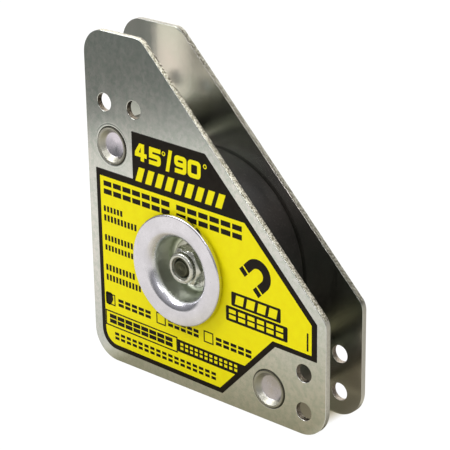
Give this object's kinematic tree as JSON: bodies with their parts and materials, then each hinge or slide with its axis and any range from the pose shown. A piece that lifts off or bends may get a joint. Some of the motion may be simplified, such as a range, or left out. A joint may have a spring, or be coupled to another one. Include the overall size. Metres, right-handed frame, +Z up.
{
  "type": "magnetic welding square",
  "caption": "Two zinc-plated steel plates clamped on a ring magnet, with square and 45 degree edges that hold steel parts at an angle for welding.",
  "frame": {"origin": "middle of the bottom of the object's box, on the surface that the plates' bottom edges stand on", "axes": "+X along the bottom edge towards the lower pair of holes, +Y through the plates towards the unlabelled one, +Z up"},
  "size_m": [0.0952, 0.0238, 0.1095],
  "materials": {
    "plate_zinc": "bright zinc plate over rolled sheet, faint vertical grain",
    "ferrite": "dark sintered ferrite, dull",
    "post_steel": "turned and swaged, satin",
    "label_vinyl": "printed vinyl, semi-gloss",
    "cup_zinc": "drawn and zinc plated, pale satin",
    "fastener_zinc": "zinc plated",
    "nylon": "natural nylon"
  },
  "bodies": {
    "root": {"front_plate": "plate_zinc", "back_plate": "plate_zinc", "ring_magnet": "ferrite", "upper_post": "post_steel", "lower_post": "post_steel", "front_label": "label_vinyl", "front_cup": "cup_zinc", "back_cup": "cup_zinc", "nut_washer": "fastener_zinc", "head_washer": "fastener_zinc", "clamp_bolt": "fastener_zinc", "lock_nut": "fastener_zinc", "nut_insert": "nylon"}
  },
  "joints": []
}
